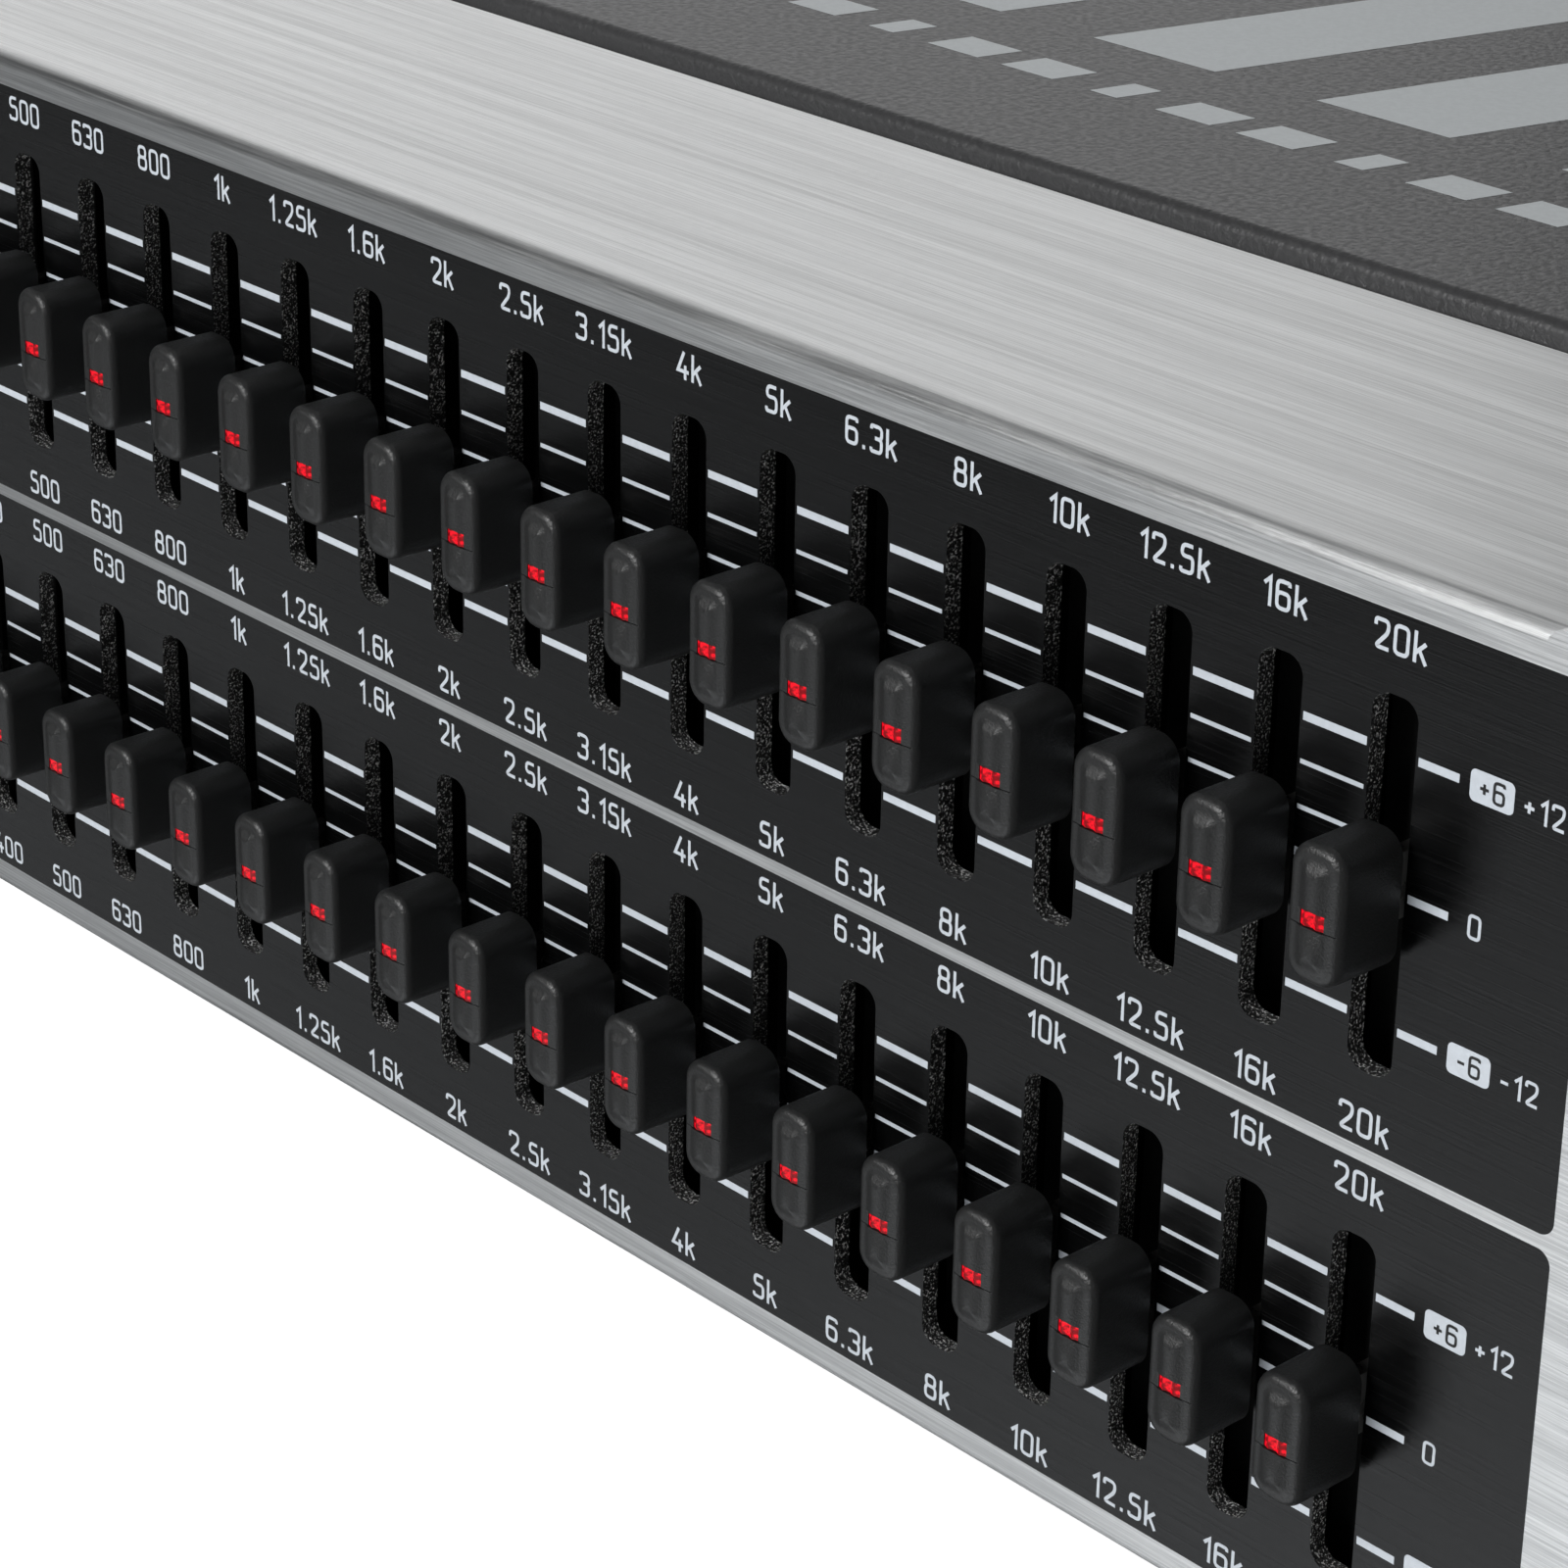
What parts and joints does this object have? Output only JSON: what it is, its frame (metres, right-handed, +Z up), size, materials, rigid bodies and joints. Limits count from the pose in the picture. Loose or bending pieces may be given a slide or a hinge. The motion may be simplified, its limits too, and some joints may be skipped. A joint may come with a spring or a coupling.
{
  "type": "graphic equalizer",
  "caption": "Rack-mount two-channel graphic equalizer with a brushed front, rows of lit slide faders, level knobs, push buttons, a steel cover and rear sockets.",
  "frame": {"origin": "middle of the underside, half way between the knobs' faces and the ends of the rear jacks", "axes": "+X along the front to the high bands, +Y to the rear, +Z up"},
  "size_m": [0.4826, 0.2342, 0.088],
  "materials": {
    "cap_plastic": "fine-textured black moulding with a satin sheen",
    "brushed_front": "brushed along its length, with two black printed fields",
    "powder_coat": "satin black powder coat with a fine orange-peel texture",
    "screw_steel": "zinc-plated",
    "black_screw": "blackened steel",
    "board": "green solder mask",
    "plated_steel": "tin or nickel plated",
    "switch_body": "moulded body",
    "winding_tape": "taped winding",
    "capacitor_sleeve": "shrink sleeve",
    "chip_body": "moulded epoxy",
    "heat_sink_metal": "anodised extrusion",
    "brass_post": "turned",
    "ribbon_jacket": "flat cable",
    "inlet_body": "moulded thermoset",
    "rocker_plastic": "moulded",
    "socket_shell": "black-finished die casting",
    "jack_body": "moulded",
    "meter_bezel": "black bezel with light segments",
    "button_plastic": "satin moulding",
    "knob_plastic": "fine-textured black moulding"
  },
  "bodies": {
    "housing": {"front_panel": "brushed_front", "top_cover": "powder_coat", "chassis_tray": "powder_coat", "panel_screws": "screw_steel", "cover_screws": "black_screw", "front_board": "board", "fader_housings": "plated_steel", "pots_and_switches": "switch_body", "main_board": "board", "transformer": "winding_tape", "transformer_clamp": "plated_steel", "filter_capacitors": "capacitor_sleeve", "chips": "chip_body", "heat_sink": "heat_sink_metal", "standoffs": "brass_post", "ribbon_cables": "ribbon_jacket", "mains_inlet": "inlet_body", "power_switch_frame": "inlet_body", "xlr_sockets": "socket_shell", "phone_jacks": "jack_body", "jack_nuts": "plated_steel", "level_meters": "meter_bezel"},
    "fader_20_hz": {"fader_20_hz": "cap_plastic"},
    "fader_25_hz": {"fader_25_hz": "cap_plastic"},
    "fader_31_5_hz": {"fader_31_5_hz": "cap_plastic"},
    "fader_40_hz": {"fader_40_hz": "cap_plastic"},
    "fader_50_hz": {"fader_50_hz": "cap_plastic"},
    "fader_63_hz": {"fader_63_hz": "cap_plastic"},
    "fader_80_hz": {"fader_80_hz": "cap_plastic"},
    "fader_100_hz": {"fader_100_hz": "cap_plastic"},
    "fader_125_hz": {"fader_125_hz": "cap_plastic"},
    "fader_160_hz": {"fader_160_hz": "cap_plastic"},
    "fader_200_hz": {"fader_200_hz": "cap_plastic"},
    "fader_250_hz": {"fader_250_hz": "cap_plastic"},
    "fader_315_hz": {"fader_315_hz": "cap_plastic"},
    "fader_400_hz": {"fader_400_hz": "cap_plastic"},
    "fader_500_hz": {"fader_500_hz": "cap_plastic"},
    "fader_630_hz": {"fader_630_hz": "cap_plastic"},
    "fader_800_hz": {"fader_800_hz": "cap_plastic"},
    "fader_1_khz": {"fader_1_khz": "cap_plastic"},
    "fader_1_25_khz": {"fader_1_25_khz": "cap_plastic"},
    "fader_1_6_khz": {"fader_1_6_khz": "cap_plastic"},
    "fader_2_khz": {"fader_2_khz": "cap_plastic"},
    "fader_2_5_khz": {"fader_2_5_khz": "cap_plastic"},
    "fader_3_15_khz": {"fader_3_15_khz": "cap_plastic"},
    "fader_4_khz": {"fader_4_khz": "cap_plastic"},
    "fader_5_khz": {"fader_5_khz": "cap_plastic"},
    "fader_6_3_khz": {"fader_6_3_khz": "cap_plastic"},
    "fader_8_khz": {"fader_8_khz": "cap_plastic"},
    "fader_10_khz": {"fader_10_khz": "cap_plastic"},
    "fader_12_5_khz": {"fader_12_5_khz": "cap_plastic"},
    "fader_16_khz": {"fader_16_khz": "cap_plastic"},
    "fader_20_khz": {"fader_20_khz": "cap_plastic"},
    "bypass_button_upper": {"bypass_button_upper": "button_plastic"},
    "bypass_button_lower": {"bypass_button_lower": "button_plastic"},
    "range_button": {"range_button": "button_plastic"},
    "low_cut_button": {"low_cut_button": "button_plastic"},
    "level_knob_upper": {"level_knob_upper": "knob_plastic"},
    "level_knob_lower": {"level_knob_lower": "knob_plastic"},
    "power_rocker": {"power_rocker": "rocker_plastic"}
  },
  "joints": [
    {"name": "fader_20_hz_slide", "type": "slide", "parent": "housing", "child": "fader_20_hz", "axis": [0, 0, 1], "range_m": [-0.01, 0.01]},
    {"name": "fader_25_hz_slide", "type": "slide", "parent": "housing", "child": "fader_25_hz", "axis": [0, 0, 1], "range_m": [-0.01, 0.01]},
    {"name": "fader_31_5_hz_slide", "type": "slide", "parent": "housing", "child": "fader_31_5_hz", "axis": [0, 0, 1], "range_m": [-0.01, 0.01]},
    {"name": "fader_40_hz_slide", "type": "slide", "parent": "housing", "child": "fader_40_hz", "axis": [0, 0, 1], "range_m": [-0.01, 0.01]},
    {"name": "fader_50_hz_slide", "type": "slide", "parent": "housing", "child": "fader_50_hz", "axis": [0, 0, 1], "range_m": [-0.01, 0.01]},
    {"name": "fader_63_hz_slide", "type": "slide", "parent": "housing", "child": "fader_63_hz", "axis": [0, 0, 1], "range_m": [-0.01, 0.01]},
    {"name": "fader_80_hz_slide", "type": "slide", "parent": "housing", "child": "fader_80_hz", "axis": [0, 0, 1], "range_m": [-0.01, 0.01]},
    {"name": "fader_100_hz_slide", "type": "slide", "parent": "housing", "child": "fader_100_hz", "axis": [0, 0, 1], "range_m": [-0.01, 0.01]},
    {"name": "fader_125_hz_slide", "type": "slide", "parent": "housing", "child": "fader_125_hz", "axis": [0, 0, 1], "range_m": [-0.01, 0.01]},
    {"name": "fader_160_hz_slide", "type": "slide", "parent": "housing", "child": "fader_160_hz", "axis": [0, 0, 1], "range_m": [-0.01, 0.01]},
    {"name": "fader_200_hz_slide", "type": "slide", "parent": "housing", "child": "fader_200_hz", "axis": [0, 0, 1], "range_m": [-0.01, 0.01]},
    {"name": "fader_250_hz_slide", "type": "slide", "parent": "housing", "child": "fader_250_hz", "axis": [0, 0, 1], "range_m": [-0.01, 0.01]},
    {"name": "fader_315_hz_slide", "type": "slide", "parent": "housing", "child": "fader_315_hz", "axis": [0, 0, 1], "range_m": [-0.01, 0.01]},
    {"name": "fader_400_hz_slide", "type": "slide", "parent": "housing", "child": "fader_400_hz", "axis": [0, 0, 1], "range_m": [-0.01, 0.01]},
    {"name": "fader_500_hz_slide", "type": "slide", "parent": "housing", "child": "fader_500_hz", "axis": [0, 0, 1], "range_m": [-0.01, 0.01]},
    {"name": "fader_630_hz_slide", "type": "slide", "parent": "housing", "child": "fader_630_hz", "axis": [0, 0, 1], "range_m": [-0.01, 0.01]},
    {"name": "fader_800_hz_slide", "type": "slide", "parent": "housing", "child": "fader_800_hz", "axis": [0, 0, 1], "range_m": [-0.01, 0.01]},
    {"name": "fader_1_khz_slide", "type": "slide", "parent": "housing", "child": "fader_1_khz", "axis": [0, 0, 1], "range_m": [-0.01, 0.01]},
    {"name": "fader_1_25_khz_slide", "type": "slide", "parent": "housing", "child": "fader_1_25_khz", "axis": [0, 0, 1], "range_m": [-0.01, 0.01]},
    {"name": "fader_1_6_khz_slide", "type": "slide", "parent": "housing", "child": "fader_1_6_khz", "axis": [0, 0, 1], "range_m": [-0.01, 0.01]},
    {"name": "fader_2_khz_slide", "type": "slide", "parent": "housing", "child": "fader_2_khz", "axis": [0, 0, 1], "range_m": [-0.01, 0.01]},
    {"name": "fader_2_5_khz_slide", "type": "slide", "parent": "housing", "child": "fader_2_5_khz", "axis": [0, 0, 1], "range_m": [-0.01, 0.01]},
    {"name": "fader_3_15_khz_slide", "type": "slide", "parent": "housing", "child": "fader_3_15_khz", "axis": [0, 0, 1], "range_m": [-0.01, 0.01]},
    {"name": "fader_4_khz_slide", "type": "slide", "parent": "housing", "child": "fader_4_khz", "axis": [0, 0, 1], "range_m": [-0.01, 0.01]},
    {"name": "fader_5_khz_slide", "type": "slide", "parent": "housing", "child": "fader_5_khz", "axis": [0, 0, 1], "range_m": [-0.01, 0.01]},
    {"name": "fader_6_3_khz_slide", "type": "slide", "parent": "housing", "child": "fader_6_3_khz", "axis": [0, 0, 1], "range_m": [-0.01, 0.01]},
    {"name": "fader_8_khz_slide", "type": "slide", "parent": "housing", "child": "fader_8_khz", "axis": [0, 0, 1], "range_m": [-0.01, 0.01]},
    {"name": "fader_10_khz_slide", "type": "slide", "parent": "housing", "child": "fader_10_khz", "axis": [0, 0, 1], "range_m": [-0.01, 0.01]},
    {"name": "fader_12_5_khz_slide", "type": "slide", "parent": "housing", "child": "fader_12_5_khz", "axis": [0, 0, 1], "range_m": [-0.01, 0.01]},
    {"name": "fader_16_khz_slide", "type": "slide", "parent": "housing", "child": "fader_16_khz", "axis": [0, 0, 1], "range_m": [-0.01, 0.01]},
    {"name": "fader_20_khz_slide", "type": "slide", "parent": "housing", "child": "fader_20_khz", "axis": [0, 0, 1], "range_m": [-0.01, 0.01]},
    {"name": "bypass_button_upper_press", "type": "slide", "parent": "housing", "child": "bypass_button_upper", "axis": [0, 1, 0], "range_m": [0, 0.0025], "stiffness_N_per_m": 400, "springref_m": -0.001},
    {"name": "bypass_button_lower_press", "type": "slide", "parent": "housing", "child": "bypass_button_lower", "axis": [0, 1, 0], "range_m": [0, 0.0025], "stiffness_N_per_m": 400, "springref_m": -0.001},
    {"name": "range_button_press", "type": "slide", "parent": "housing", "child": "range_button", "axis": [0, 1, 0], "range_m": [0, 0.0025], "stiffness_N_per_m": 400, "springref_m": -0.001},
    {"name": "low_cut_button_press", "type": "slide", "parent": "housing", "child": "low_cut_button", "axis": [0, 1, 0], "range_m": [0, 0.0025], "stiffness_N_per_m": 400, "springref_m": -0.001},
    {"name": "level_knob_upper_turn", "type": "hinge", "parent": "housing", "child": "level_knob_upper", "pos_m": [-0.198, -0.1021, 0.06332], "axis": [0, -1, 0], "range_deg": [-150, 150]},
    {"name": "level_knob_lower_turn", "type": "hinge", "parent": "housing", "child": "level_knob_lower", "pos_m": [-0.198, -0.1021, 0.02268], "axis": [0, -1, 0], "range_deg": [-150, 150]},
    {"name": "power_rocker_tilt", "type": "hinge", "parent": "housing", "child": "power_rocker", "pos_m": [-0.132, 0.1105, 0.044], "axis": [1, 0, 0], "range_deg": [0, 14]}
  ]
}
